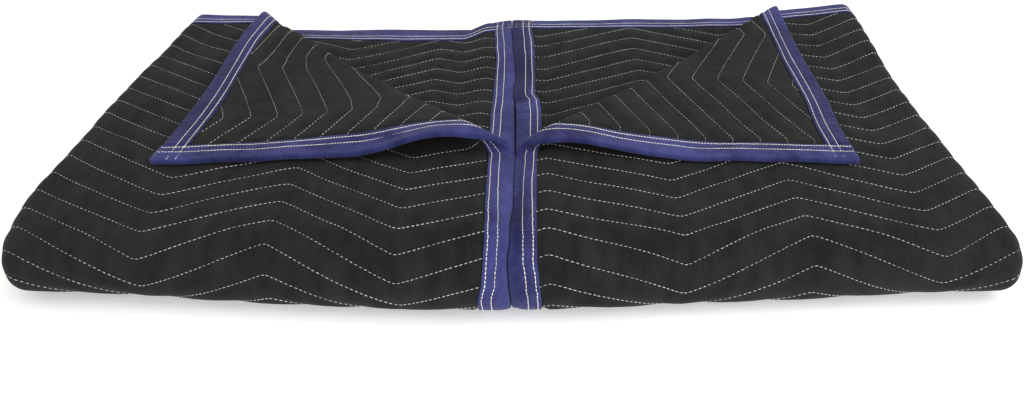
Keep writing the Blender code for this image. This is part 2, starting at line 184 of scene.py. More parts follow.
# The middle seam snakes: where it runs, and how far the tapes beside it stand over to the
# right of their place, from the back down to the foot of the round fold
seam = {
    "places": (0.290, 0.230, 0.198, 0.157, 0.110, 0.092, 0.065, 0.0, -0.033,
               -0.084, -0.110, -0.140, -0.160, -0.185, -0.205, -0.222),
    "line": (-0.0090, -0.0060, -0.0035, -0.0015, -0.0044, -0.0020, -0.0015, -0.0010, -0.0005,
             -0.0010, -0.0008, -0.0028, -0.0025, -0.0045, -0.0035, -0.0020),
    "left": (-0.0053, -0.0016, 0.0004, 0.0006, 0.0003, 0.0, -0.0013, -0.0018, 0.0004,
             0.0002, 0.0010, 0.0026, 0.0033, 0.0025, 0.0008, -0.0035),
    "right": (-0.0095, -0.0062, -0.0050, -0.0050, -0.0055, -0.0008, 0.0003, -0.0006, -0.0060,
              -0.0073, -0.0074, -0.0070, -0.0063, -0.0060, -0.0038, -0.0020),
    "open": (0.0006, 0.0006, 0.0006, 0.0006, 0.0006, 0.0016, 0.0022, 0.0016, 0.0006,
             0.0006, 0.0006, 0.0006, 0.0006, 0.0008, 0.0008, 0.0008),
    "row": 0.0158,  # from the middle to the tapes' nearest stitched row
    "fade": 0.080,
    "sunk": 0.0042,  # how deep the hollow along it is, and how wide to either side
    "sunkReach": 0.0065,
    "sunkLean": 0.0025,  # the hollow's middle lies this far under the right tape
    "sunkUneven": 0.5,  # share of that depth that comes and goes
    "unevenSize": 0.050,
    "noseReach": 0.060,
    "sunkTo": 0.24,
    "sunkFade": 0.05,
}


def soft(value):
    # 0 to 1 with level ends
    value = np.clip(value, 0.0, 1.0)
    return value * value * (3 - 2 * value)


def lumps(a, b, seed):
    # a smooth uneven field between -1 and 1, one lump to each unit of a and b
    field = np.random.default_rng(seed).uniform(-1, 1, (64, 64))
    a, b = np.broadcast_arrays(np.asarray(a, float), np.asarray(b, float))
    left = np.floor(a).astype(int)
    low = np.floor(b).astype(int)
    right = soft(a - left)
    up = soft(b - low)
    below = field[left % 64, low % 64] * (1 - right) + field[(left + 1) % 64, low % 64] * right
    above = field[left % 64, (low + 1) % 64] * (1 - right) + field[(left + 1) % 64, (low + 1) % 64] * right
    return below * (1 - up) + above * up


def pick(across, name):
    # the left or the right side's value for each point
    return np.where(across < 0, leftSide[name], rightSide[name])


def bendAt(across, distance, reach):
    # the bend of a turned corner: how far along it a place of the flap lies, from the
    # pack's middle to the hem, its radius there, and how far past its start the place is
    turned = pick(across, "turned")
    hemward = np.clip((distance - reach + turned) / (2 * turned), 0, 1)
    turned = turned - pick(across, "seamBack") * (1 - soft(hemward / hump["seamReach"]))
    radius = pick(across, "seamRadius")
    radius = radius + (pick(across, "middleRadius") - radius) * soft(hemward / hump["seamReach"])
    radius = radius + (pick(across, "hemRadius") - radius) * soft(hemward / pick(across, "humpReach"))
    past = (turned + pi * radius / sqrt(2) - distance - reach) / sqrt(2)
    return hemward, radius, past


def between(places, values, spots):
    # smooth between the places, which are in rising order
    step = np.interp(spots, places, np.arange(len(places)))
    low = np.clip(np.floor(step).astype(int), 0, len(places) - 2)
    values = np.array(values)
    return values[low] + (values[low + 1] - values[low]) * soft(step - low)


def slideCloth(across, along):
    # the cloth slides with its uneven hems, less and less away from them
    reach = np.minimum(along, cloth["length"] - along)
    headShare = 1 - soft((reach - slide["headFrom"]) / slide["headRun"])
    footShare = 1 - soft((reach - slide["footFrom"]) / slide["footRun"])
    head = between(hemPlaces, headSetBack, across) * headShare
    foot = between(hemPlaces, footSetBack, across) * footShare
    return np.where(along < halfLength, along + head, along - foot)


def foldInHalf(along, up):
    # the foot half comes up and over onto the head half
    past = along - halfLength
    before = past < -pi * halfRadius / 2
    after = past > pi * halfRadius / 2
    angle = np.clip(past / halfRadius, -pi / 2, pi / 2)
    reach = halfReach + (halfRadius - up) * np.cos(angle)
    height = pitch + (halfRadius - up) * np.sin(angle)
    reach = np.where(before, along, np.where(after, cloth["length"] - along, reach))
    height = np.where(before, pitch / 2 + up, np.where(after, 1.5 * pitch - up, height))
    return reach, height


def foldSides(across, height):
    # both sides come up and over, and their edges meet along the middle
    out = np.abs(across)
    radius = 2 * pitch - height
    angle = np.clip((out - sideStart) / sideRadius, 0, pi)
    side = np.where(out < sideStart, out, sideStart + radius * np.sin(angle))
    level = np.where(out < sideStart, height, 2 * pitch - radius * np.cos(angle))
    side = np.where(out > sideEnd, sideStart - (out - sideEnd), side)
    level = np.where(out > sideEnd, 4 * pitch - height, level)
    return side, level


def foldFront(reach, level):
    # in half again, with the sides outward and the round fold at the front
    radius = level + cloth["leafGap"] / 2
    angle = np.clip((reach - frontStart) / frontRadius, 0, pi)
    y = np.where(reach < frontStart, hemLine - reach, bendLine - radius * np.sin(angle))
    z = np.where(reach < frontStart, radius, radius * np.cos(angle))
    y = np.where(reach > frontEnd, bendLine + (reach - frontEnd), y)
    z = np.where(reach > frontEnd, -radius, z)
    return y, z + 4 * pitch + cloth["leafGap"] / 2


def turnCorners(across, x, y, z, loose):
    # the loose corners on top come forward and down over a 45 degree bend
    middle = packHeight - pitch / 2
    distance = x - cloth["seamGap"] / 2
    hemward, radius, past = bendAt(across, distance, hemLine - y)
    angle = np.clip(past / radius, 0, pi)
    bent = (radius - (z - middle)) * np.sin(angle)
    raised = middle + radius - (radius - (z - middle)) * np.cos(angle)
    flat = past > pi * radius
    settled = soft((past - pi * radius) / pick(across, "settleRun")) * flat
    droop = hemDroop["share"] * (1 - soft(distance / hemDroop["reach"]))
    droop = droop * soft((hemward - hemDroop["from"]) / hemDroop["run"])
    bent = np.where(flat, pi * radius - past, bent)
    raised = np.where(flat, middle + 2 * radius - (z - middle), raised)
    raised = raised - (2 * radius - pitch) * (1 - (1 - settled) * (1 - droop)) * flat
    newX = x - (bent - past) / sqrt(2)
    newY = y + (bent - past) / sqrt(2)
    # the turned cloth lies a little askew
    turned = pick(across, "turned")
    back = soft((newY - hemLine + turned) / turned)
    forward = pick(across, "hemForward") + pick(across, "tipForward") * newX / turned
    newX = newX - pick(across, "lean") * 4 * back * (1 - back) * settled
    newY = newY - forward * (1 - back) * settled
    goes = loose & (past > 0)
    return np.where(goes, newX, x), np.where(goes, newY, y), np.where(goes, raised, z)


def drawSeam(across, side, run):
    # moves the flaps' inner edges to where the seam and the tapes lie at this run of it
    sign = np.where(across < 0, -1, 1)
    line, left, right, opening = (between(seam["places"][::-1], seam[name][::-1], run)
                                  for name in ("line", "left", "right", "open"))
    over = sign * np.where(across < 0, left, right)
    edge = sign * line + opening / 2
    start = cloth["seamGap"] / 2
    squeeze = (seam["row"] + over - edge) / (seam["row"] - start)
    beside = side + over * (1 - soft((side - seam["row"]) / seam["fade"]))
    return np.where(side < seam["row"], edge + (side - start) * squeeze, beside)


def sinkSeam(x, y, z):
    # a soft hollow along the seam, through all the layers
    run = y + z
    line = between(seam["places"][::-1], seam["line"][::-1], run) + seam["sunkLean"]
    uneven = 1 + seam["sunkUneven"] * lumps(run / seam["unevenSize"], 0.5, 5)
    sunk = seam["sunk"] * uneven * np.exp(-(((x - line) / seam["sunkReach"]) ** 2))
    share = np.clip(z / packHeight, 0, 1)
    nose = soft(1 - (y + hemLine) / seam["noseReach"])
    sunk = sunk * (1 - soft((run - seam["sunkTo"]) / seam["sunkFade"]))
    return y + sunk * nose * (1 - share), z - sunk * share**2


def settlePack(x, y, z):
    # the pack's own weight: a fuller middle, a sagging round fold, slimmer ends
    z = z - cloth["layerGap"] / 2
    share = z / packHeight
    ahead = soft(1 - (y + hemLine) / settle["frontReach"])
    nose = soft(1 - (y + hemLine) / settle["noseReach"])
    ends = soft((np.abs(x) - settle["endsFrom"]) / settle["endsReach"])
    middle = np.exp(-(((x - settle["middlePlace"]) / settle["middleReach"]) ** 2))
    backX = soft((x - settle["backFrom"][0]) / settle["backReach"][0])
    backY = soft((y - settle["backFrom"][1]) / settle["backReach"][1])
    z = z * (1 - settle["endsSquash"] * ends * ahead + settle["middleSwell"] * middle * ahead)
    z = z + settle["endsLift"] * ends * ahead * (1 - share)
    z = z + settle["backLift"] * backX * backY * share
    y = y - settle["middleForward"] * middle * ahead
    y = y - settle["underForward"] * (1 - share) * nose * (1 - settle["underEven"] * ends)
    x = x * (1 + settle["endsSpread"] * ends * ahead)
    drift = settle["drift"] * soft((y + hemLine) / packDepth)
    x = x - drift * (1 - (x / settle["driftHalf"]) ** 2)
    back = np.clip((y + hemLine) / packDepth, 0, 1)
    outer = soft((-x - settle["leftFrom"]) / settle["leftReach"])
    x = x - settle["leftSwell"] * 4 * back * (1 - back) * outer
    x = x - settle["leftNose"] * np.exp(-(((back - settle["noseAt"]) / settle["leftNoseReach"]) ** 2)) * outer
    rise = between(backEdge["places"], backEdge["rise"], x)
    z = z + rise * soft((y - backEdge["from"]) / backEdge["run"]) * share
    return x + settle["centreShift"][0], y + settle["centreShift"][1], z


def roughenPack(x, y, z):
    # small unevenness of the whole stack, the same for all the layers at one place
    size = settle["lumpSize"]
    share = np.clip(z / packHeight, 0, 1)
    finer = settle["fineTimes"]
    lump = lumps(x / size, y / size, 3) + settle["fineShare"] * lumps(x / size * finer, y / size * finer, 4)
    z = z + settle["lumpHeight"] * lump * share
    return x, y, z


def foldBlanket(across, along, up):
    # flat cloth (side to side, head to foot, through the cloth) to the folded pack
    along = slideCloth(across, along)
    reach, height = foldInHalf(along, up)
    side, level = foldSides(across, height)
    y, z = foldFront(reach, level)
    flap = np.abs(across) > (sideStart + sideEnd) / 2
    loose = flap & (along < halfLength) & (reach < frontStart)
    side, y, z = turnCorners(across, side, y, z, loose)
    side = np.where(flap, drawSeam(across, side, y + z), side)
    x = side * np.where(across < 0, -1, 1)
    y, z = sinkSeam(x, y, z)
    x, y, z = settlePack(x, y, z)
    x, y, z = roughenPack(x, y, z)
    return np.stack([x, y, z], axis=-1)


# The quilting: zigzag rows stitched across the blanket
quilting = {
    "spacing": 0.0280,
    "halfWave": 0.1150,
    "rise": 0.055,
    "turnRound": 0.03,  # share of a half wave that is rounded at each turn
    "blendFrom": 0.3,  # where one turn's rounding gives way to the other's
    "blendRun": 0.4,
    "depth": 0.0015,
    "sideShare": 0.35,  # of that depth, on the folded sides
    "sideFade": (0.02, 0.03),
    "fullness": 2.2,  # how quickly the cloth swells beside a stitched row
    "fade": 0.010,
    "hiddenReach": 0.030,  # how far the relief goes on under what hides it
    "puckerSize": 0.013,
    "puckerLong": 4,  # times as long, along the blanket
    "puckerDepth": 0.00055,
    "roundFrom": 0.452,  # where the face starts to run longer round the front fold
    "roundReach": 0.080,
    "roundEnds": 0.007,  # by so much at the pack's ends, and more in its middle
    "roundMiddle": 0.018,
    "cornerReach": 0.120,  # over which a turned corner's own rows turn into the others
}
binding = {
    "width": 0.026,
    "thick": 0.0011,
    "half": 0.0032,
    "round": 0.0016,
    "clear": 0.0008,
    "ramp": 0.0062,
    "gap": 0.0003,
    "rows": (0.0225, 0.0143),  # stitched rows, from the tape's outer edge
    "rowDepth": 0.00045,
    "rowReach": 0.0010,
    "rowCut": 0.0012,  # the face is cut so far to either side of a row
    "rimCuts": (0.0004, 0.0015),  # from the sewn-down edge
    "faceCuts": (0.0110, 0.0080, 0.0050, 0.0030),
    "swell": 0.0003,
    "rimDip": 0.0005,
    "edgeWander": 0.0008,
    "wanderSize": 0.05,
    "fuller": 0.05,  # share of the height that comes and goes
    "fullerSize": (0.011, 0.008),
    "step": 0.004,
}
hemInset = binding["thick"] + binding["gap"]
hemHalf = binding["half"] - hemInset
hemInner = binding["width"] + binding["clear"]
hemOuter = hemInner + binding["ramp"]


def zigzagWave(distance, point):
    # a zigzag with rounded turns, furthest forward at this point
    place = (distance - point) / quilting["halfWave"]
    wave = np.abs(np.mod(place, 2) - 1)
    low = np.sqrt(wave**2 + quilting["turnRound"] ** 2)
    high = 1 - np.sqrt((1 - wave) ** 2 + quilting["turnRound"] ** 2)
    blend = soft((wave - quilting["blendFrom"]) / quilting["blendRun"])
    return quilting["rise"] * (low + (high - low) * blend)


def zigzag(across):
    # how far the first stitched row stands from the head
    distance = halfWidth - np.abs(across)
    point = pick(across, "quiltPoint")
    tilt = pick(across, "quiltTilt") * (distance - point)
    return pick(across, "quiltStart") + zigzagWave(distance, point) - tilt


def cornerShift(across, along):
    # how far the rows lie nearer to the head on a turned corner than elsewhere
    distance = halfWidth - np.abs(across)
    corner = pick(across, "cornerStart") + zigzagWave(distance, pick(across, "cornerPoint"))
    inside = pick(across, "turned") - distance - along
    return (zigzag(across) - corner) * soft(inside / quilting["cornerReach"])


def faceRun(across, along):
    # how much longer the outer face runs than the flat cloth, up to a place
    place = np.sign(across) * (halfWidth - np.abs(across))
    middle = np.exp(-(((place - settle["middlePlace"]) / settle["middleReach"]) ** 2))
    longer = quilting["roundEnds"] + quilting["roundMiddle"] * middle
    past = soft((along - quilting["roundFrom"]) / quilting["roundReach"])
    return longer * past + cornerShift(across, along)


def rowPlace(across, along):
    # the flat place that lies at this run along the outer face, found in twelve rounds
    place = along
    for _ in range(12):
        place = along - faceRun(across, place)
    return place


def quiltRow(across, along):
    # a whole number on each stitched row
    return (along + faceRun(across, along) - zigzag(across)) / quilting["spacing"]


def shownMargin(across, along, top):
    # how far inside the cloth that shows a place lies: on the inner face (top) where a
    # corner is turned down and where it lays the flap below bare, on the outer face all
    # round the pack but not under a turned corner
    distance = halfWidth - np.abs(across)
    reach = np.minimum(along, cloth["length"] - along)
    past = bendAt(across, distance, reach)[2]
    turned = pick(across, "turned")
    hidden = quilting["hiddenReach"]
    inner = past * sqrt(2) + hidden
    outer = np.minimum(halfLength - along, np.maximum(along, distance) - turned + hidden)
    outer = np.where(along < halfLength, outer, -1.0)
    flap = halfWidth - sideStart - distance
    return np.minimum(np.where(top, inner, outer), flap)


def quiltDrop(across, along, top):
    # pressed in at the stitches, with each row's own puckers beside it, full between two rows
    row = quiltRow(across, along)
    away = np.abs(row - np.round(row)) * 2
    near = (1 - away) ** quilting["fullness"]
    size = quilting["puckerSize"]
    pucker = lumps(across / size + 7 * np.round(row), along / size / quilting["puckerLong"], 11)
    fadeIn, fadeOut = quilting["sideFade"]
    side = soft((np.abs(across) - sideStart) / fadeIn) * (1 - soft((np.abs(across) - sideEnd) / fadeOut))
    near = near * (1 - (1 - quilting["sideShare"]) * side)
    drop = quilting["depth"] * near + quilting["puckerDepth"] * (0.5 + 0.5 * pucker) * (1 - near) * near * 4
    share = np.clip(shownMargin(across, along, top) / quilting["fade"], 0, 1)
    return drop * share


def faceHeight(across, along, top):
    # from the middle of the cloth to its face
    edge = np.minimum(halfWidth - np.abs(across), np.minimum(along, cloth["length"] - along))
    full = cloth["thick"] / 2
    height = hemHalf + (full - hemHalf) * soft((edge - hemInner) / binding["ramp"])
    pressed = quiltDrop(across, along, top) * soft((edge - hemInner) / binding["ramp"])
    return height - pressed


# Meshes and finished pieces
def meshPoints(verts):
    return np.array([vert.co[:] for vert in verts])


def foldMesh(mesh, flatPoints, name, material):
    # moves a flat mesh into the folds, and keeps its flat places and quilted rows as UV maps
    mesh.verts.index_update()
    bmesh.ops.reverse_faces(mesh, faces=mesh.faces[:])  # head to foot runs toward -Y
    data = bpy.data.meshes.new(name)
    mesh.to_mesh(data)
    mesh.free()
    corners = np.empty(len(data.loops), dtype=np.int32)
    data.loops.foreach_get("vertex_index", corners)
    across, along, up = flatPoints.T
    for mapName, second in (("flat", along), ("rows", quiltRow(across, along))):
        places = np.stack([across, second], axis=1)[corners]
        data.uv_layers.new(name=mapName).data.foreach_set("uv", places.astype(np.float32).ravel())
    points = foldBlanket(across, along, up)
    data.vertices.foreach_set("co", points.astype(np.float32).ravel())
    data.update()
    return addPiece(name, data, material)


def addPiece(name, data, material):
    data.shade_smooth()
    data.materials.append(material)
    piece = bpy.data.objects.new(name, data)
    bpy.context.scene.collection.objects.link(piece)
    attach(piece, "root")
    return piece


def evenSteps(places, step):
    # the same places, with even steps no longer than this between them
    filled = [places[0]]
    for near, far in zip(places[:-1], places[1:]):
        count = max(1, ceil((far - near) / step - 0.001))  # a rounding error adds no step
        filled += [near + (far - near) * i / count for i in range(1, count + 1)]
    return filled


# The quilted cloth: a grid whose rows follow the stitching, finer where it shows
clothGrid = {
    "column": 0.0294,
    "foldColumn": 0.0099,
    "hiddenColumn": 0.060,
    "hemFade": 0.11,  # over which the rows turn from the straight hem to the zigzag
    "foldClear": 0.015,  # they lie straight so near the half fold
    "flapFrom": 0.30,  # they follow the zigzag from here outward
    "flapRun": 0.12,
    "flapMiddle": 0.235,  # from the side's edge
    "cuts": 3,
    "bendCuts": 1,
    "bendMargin": 0.010,
    "bendTo": 0.5,  # from the side's edge
}


def clothColumns(side):
    # distances from the side's edge to the middle of the blanket
    shown = [hemInset, hemInner, hemOuter]
    turn = side["quiltPoint"]
    foldPlace = halfWidth - sideEnd
    while turn < foldPlace:
        shown.append(turn)
        turn += quilting["halfWave"]
    shown = evenSteps(shown + [foldPlace], clothGrid["column"])
    bend = evenSteps([foldPlace, halfWidth - sideStart], clothGrid["foldColumn"])
    hidden = evenSteps([halfWidth - sideStart, halfWidth], clothGrid["hiddenColumn"])
    return shown + bend[1:] + hidden[1:]


def clothRows():
    # places along the blanket: two for each stitched row, closer in the half fold
    half = quilting["spacing"] / 2
    first = leftSide["quiltStart"] + quilting["rise"] / 2
    bend = pi * halfRadius / 2
    rows = [hemInset, hemInner, hemOuter]
    rows += [halfLength + bend * share for share in (-2, -1, -0.67, -0.33, 0, 0.33, 0.67, 1, 2)]
    rows += [cloth["length"] - place for place in (hemOuter, hemInner, hemInset)]
    for number in range(int(cloth["length"] / half)):
        place = first + number * half
        clear = min(abs(place - other) for other in rows)
        if clear > half / 2 and place < cloth["length"] - hemOuter:
            rows.append(place)
    return sorted(rows), first


def rowShift(across, along, first):
    # how far the grid's rows stand from straight ones, so that they follow the stitching
    half = quilting["spacing"] / 2
    lean = pick(across, "quiltTilt") * (clothGrid["flapMiddle"] - pick(across, "quiltPoint"))
    middle = pick(across, "quiltStart") + quilting["rise"] / 2 - lean - first
    shift = zigzag(across) - first - np.round(middle / half) * half
    shift = rowPlace(across, along + shift) - along
    flap = soft((np.abs(across) - clothGrid["flapFrom"]) / clothGrid["flapRun"])
    reach = np.minimum(along, cloth["length"] - along)
    hem = soft((reach - hemOuter) / clothGrid["hemFade"])
    bend = soft((np.abs(along - halfLength) - clothGrid["foldClear"]) / clothGrid["hemFade"])
    return shift * flap * hem * bend


def refine(mesh, cuts, wanted):
    # cuts the wanted faces of the two sides into smaller ones, and leaves the rims
    centres = np.array([face.calc_center_median()[:] for face in mesh.faces])
    upper = np.array([face.normal.z > 0.5 for face in mesh.faces])
    lower = np.array([face.normal.z < -0.5 for face in mesh.faces])
    chosen = wanted(centres[:, 0], centres[:, 1], upper) & (upper | lower)
    edges = {edge for face, take in zip(mesh.faces[:], chosen) if take for edge in face.edges}
    bmesh.ops.subdivide_edges(mesh, edges=sorted(edges, key=lambda e: e.index), cuts=cuts, use_grid_fill=True)
    mesh.faces.ensure_lookup_table()
    mesh.edges.index_update()


def inBend(across, along, top):
    # the 45 degree bend of a turned corner and a little of the cloth beside it
    distance = halfWidth - np.abs(across)
    radius, past = bendAt(across, distance, along)[1:]
    margin = clothGrid["bendMargin"]
    return (past > -margin) & (past < pi * radius + margin) & (distance < clothGrid["bendTo"])


def makeCloth(material):
    left = [-halfWidth + distance for distance in clothColumns(leftSide)]
    right = [halfWidth - distance for distance in clothColumns(rightSide)]
    columns = np.array(left + right[-2::-1])
    rows, first = clothRows()
    rows = np.array(rows)
    mesh = bmesh.new()
    bmesh.ops.create_grid(mesh, x_segments=len(columns) - 1, y_segments=len(rows) - 1, size=1.0)
    for vert in mesh.verts:
        column = round((vert.co.x + 1) / 2 * (len(columns) - 1))
        row = round((vert.co.y + 1) / 2 * (len(rows) - 1))
        vert.co = (columns[column], rows[row], -0.5)
    pulled = bmesh.ops.extrude_face_region(mesh, geom=mesh.faces[:])
    lifted = [item for item in pulled["geom"] if isinstance(item, bmesh.types.BMVert)]
    bmesh.ops.translate(mesh, verts=lifted, vec=(0, 0, 1))
    bmesh.ops.recalc_face_normals(mesh, faces=mesh.faces[:])
    mesh.faces.ensure_lookup_table()
    mesh.edges.index_update()
    refine(mesh, clothGrid["cuts"], lambda x, y, up: (shownMargin(x, y, up) > 0) | inBend(x, y, up))
    mesh.normal_update()
    refine(mesh, clothGrid["bendCuts"], inBend)
    points = meshPoints(mesh.verts)
    top = points[:, 2] > 0
    points[:, 1] += rowShift(points[:, 0], points[:, 1], first)
    height = faceHeight(points[:, 0], points[:, 1], top)
    points[:, 2] = np.where(top, height, -height)
    piece = foldMesh(mesh, points, "quilted_cloth", material)
    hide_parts("quilted_panel")
    return piece


# The bindings: a tape folded over each edge and stitched down in two rows
def tapeSection():
    # the folded tape seen from its end: distance in from its outer edge, and height
    half = binding["half"]
    rounded = binding["round"]
    inner = half - binding["thick"]
    width = binding["width"]
    outerRun = [width, *(width - cut for cut in binding["rimCuts"]), *binding["faceCuts"], rounded]
    for row in binding["rows"]:
        outerRun += [row + binding["rowCut"], row, row - binding["rowCut"]]
    outerRun = sorted(set(outerRun), reverse=True)

    def faceOf(distance):
        dip = sum(np.exp(-(((distance - row) / binding["rowReach"]) ** 2)) for row in binding["rows"])
        swell = binding["swell"] * np.sin(pi * distance / width)
        edge = binding["rimDip"] if distance >= width else 0.0
        return half + swell - binding["rowDepth"] * dip - edge

    nose = [(rounded * (1 - np.sin(a)), half - rounded * (1 - np.cos(a))) for a in (0.5, 1.0, pi / 2)]
    upper = [(distance, faceOf(distance)) for distance in outerRun] + nose
    lower = [(distance, -height) for distance, height in reversed(upper)]
    inside = [(width, -inner), (binding["thick"], -inner), (binding["thick"], inner), (width, inner)]
    return upper + lower + inside


def makeBinding(name, node, place, start, end, seed, material):
    # place turns a distance from the edge and a run along it into the flat cloth's X and Y
    mesh = bmesh.new()
    section = tapeSection()
    verts = [mesh.verts.new((distance, start, height)) for distance, height in section]
    ring = [mesh.edges.new(pair) for pair in zip(verts, verts[1:] + verts[:1])]
    steps = round((end - start) / binding["step"])
    bmesh.ops.spin(mesh, geom=ring, cent=(0, 0, 0), axis=(0, 0, 1), dvec=(0, (end - start) / steps, 0),
                   angle=0.0, steps=steps, use_duplicate=False)
    rims = [edge for edge in mesh.edges if edge.is_boundary]
    bmesh.ops.holes_fill(mesh, edges=rims, sides=0)
    points = meshPoints(mesh.verts)
    distance, run, height = points.T
    flatX, flatY = place(distance, run)
    across = np.broadcast_to(flatX, run.shape)
    along = np.broadcast_to(flatY, run.shape)
    for vert, spot in zip(mesh.verts, np.stack([across, along, height], axis=1)):
        vert.co = spot
    bmesh.ops.recalc_face_normals(mesh, faces=mesh.faces[:])
    # the sewn-down edge wanders, and the tape is a little fuller here and there
    inward = distance / binding["width"]
    wander = binding["edgeWander"] * lumps(run / binding["wanderSize"], 0.5, seed) * inward**2
    flatX, flatY = place(distance + wander, run)
    sizeAlong, sizeAcross = binding["fullerSize"]
    fuller = 1 + binding["fuller"] * lumps(run / sizeAlong, distance / sizeAcross, seed + 1) * inward
    points = np.stack(np.broadcast_arrays(flatX, flatY, height * fuller), axis=1)
    piece = foldMesh(mesh, points, name, material)
    # painted shade on each point, kept for the tape's material
    paintedShadeFactor = piece.data.attributes.new("paintedShadeFactor", "FLOAT", "POINT")
    paintedShadeFactor.data.foreach_set("value", paintedTapeShade(name, points, meshPoints(piece.data.vertices)).astype(np.float32))
    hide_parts(node)
    return piece


# Where shade is painted onto the tapes, in the hollow along the seam and on the turned corners' hem tape: 1
# is unshaded, and a lower number darker
paintedShade = {
    "hem": 0.50,  # the hem tape of the turned corners
    "hemTo": 0.25,
    "hemFade": 0.06,
    "seam": 0.30,  # the right tape's edge along the seam
    "seamWidth": 0.011,
    "seamEdge": 0.006,
    "backFrom": 0.085,  # on the back half of the seam
    "backFade": 0.02,
    "frontAt": -0.125,  # and in one place on the front
    "frontReach": 0.030,
}


# painted shade for each point of a tape, from its flat and its folded place
def paintedTapeShade(name, flat, folded):
    distance = halfWidth - np.abs(flat[:, 0])
    x, y, z = folded.T
    run = y + z
    beside = x - between(seam["places"][::-1], seam["line"][::-1], run) - settle["centreShift"][0]
    if name == "head_end_binding":
        turned = 1 - soft((distance - paintedShade["hemTo"]) / paintedShade["hemFade"])
        return 1 - (1 - paintedShade["hem"]) * turned
    if name == "right_side_binding":
        behind = soft((run - paintedShade["backFrom"]) / paintedShade["backFade"])
        ahead = np.exp(-(((run - paintedShade["frontAt"]) / paintedShade["frontReach"]) ** 2))
        near = 1 - soft((beside - paintedShade["seamWidth"]) / paintedShade["seamEdge"])
        return 1 - (1 - paintedShade["seam"]) * near * np.maximum(behind, ahead)
    return np.ones(len(flat))


tapePlaces = {
    "left": lambda distance, run: (distance - halfWidth, run),
    "right": lambda distance, run: (halfWidth - distance, run),
    "head": lambda distance, run: (run, distance),
    "foot": lambda distance, run: (run, cloth["length"] - distance),
}


def makeBindings(material):
    inside = halfWidth - binding["width"] - binding["gap"]
    length = cloth["length"]
    return [
        makeBinding("left_side_binding", "binding_left", tapePlaces["left"], 0, length, 21, material),
        makeBinding("right_side_binding", "binding_right", tapePlaces["right"], 0, length, 23, material),
        makeBinding("head_end_binding", "binding_head", tapePlaces["head"], -inside, inside, 25, material),
        makeBinding("foot_end_binding", "binding_foot", tapePlaces["foot"], -inside, inside, 27, material),
    ]


# The threads: one stitch is a slim grain, laid in rows on the flat cloth and folded with it
thread = {
    "quiltPitch": 0.0045,
    "quiltStitch": 0.0031,
    "bindingPitch": 0.0030,
    "bindingStitch": 0.0029,
    "quiltWidth": 0.00048,
    "bindingWidth": 0.00095,
    "height": 0.0008,
    "lift": 0.25,  # how much of a stitch's height stands over the cloth's face
    "turnJitter": 0.06,
    "sideJitter": 0.00012,
    "lengthRange": (0.9, 1.08),
    "stagger": 0.37,  # of a pitch, from one quilted row to the next
    "underTape": 0.0006,  # so far the quilting goes on under the tapes
    "endInset": 0.003,
    "rowWander": 0.0005,
    "wanderSize": 0.04,
    "tapeSunk": 0.6,  # of their groove's depth, how deep the tapes' stitches lie in it
}


def stitchGrain():
    # points and faces of one stitch, one unit long, wide and high
    grain = bmesh.new()
    bmesh.ops.create_uvsphere(grain, u_segments=6, v_segments=4, radius=0.5)
    bmesh.ops.rotate(grain, cent=(0, 0, 0), matrix=Matrix.Rotation(pi / 2, 3, "Y"), verts=grain.verts[:])
    bmesh.ops.triangulate(grain, faces=grain.faces[:])
    points = meshPoints(grain.verts)
    faces = np.array([[vert.index for vert in face.verts] for face in grain.faces])
    grain.free()
    return points, faces


def makeThread(name, stitches, width, material):
    # stitches: place, height, direction and length of each on the flat cloth, and its face
    across, along, height, angle, length, top = stitches
    top = top > 0.5
    grainPoints, grainFaces = stitchGrain()
    rng = np.random.default_rng(len(across))
    angle = angle + rng.normal(0, thread["turnJitter"], len(across))
    across = across + rng.normal(0, thread["sideJitter"], len(across))
    length = length * rng.uniform(*thread["lengthRange"], len(across))
    x = grainPoints[None, :, 0] * length[:, None]
    y = np.broadcast_to(grainPoints[None, :, 1] * width, x.shape)
    z = np.broadcast_to(grainPoints[None, :, 2] * thread["height"], x.shape)
    side = np.where(top, 1, -1)[:, None]
    flatX = across[:, None] + x * np.cos(angle)[:, None] - y * np.sin(angle)[:, None]
    flatY = along[:, None] + x * np.sin(angle)[:, None] + y * np.cos(angle)[:, None]
    flatZ = side * (height[:, None] + thread["lift"] * thread["height"] + z)
    points = foldBlanket(flatX.ravel(), flatY.ravel(), flatZ.ravel())
    starts = (np.arange(len(across)) * len(grainPoints))[:, None, None]
    turned = np.where(top[:, None, None], grainFaces[None, :, ::-1], grainFaces[None, :, :])
    faces = (turned + starts).reshape(-1, 3)
    data = bpy.data.meshes.new(name)
    data.from_pydata(points, [], faces)
    return addPiece(name, data, material)


def quiltingStitches(left):
    # every stitch of the zigzag rows that shows, on both faces of one side
    sign = -1 if left else 1
    slope = quilting["rise"] / quilting["halfWave"]
    step = thread["quiltPitch"] / sqrt(1 + slope**2)
    tapeEdge = hemInner - thread["underTape"]
    distance = np.arange(tapeEdge, halfWidth - sideStart, step)
    found = []
    for row in range(-2, int(cloth["length"] / quilting["spacing"]) + 1):
        across = sign * (halfWidth - distance - thread["stagger"] * step * (row % 3))
        along = rowPlace(across, zigzag(across) + row * quilting["spacing"])
        angle = np.arctan2(np.gradient(along), np.gradient(across))
        for top in (False, True):
            facing = np.full(len(across), top)
            reach = np.minimum(along, cloth["length"] - along)
            shown = (shownMargin(across, along, facing) > 0) & (reach > tapeEdge)
            height = faceHeight(across, along, facing)
            length = np.full(len(across), thread["quiltStitch"])
            found.append(np.stack([across, along, height, angle, length, facing])[:, shown])
    return np.concatenate(found, axis=1)


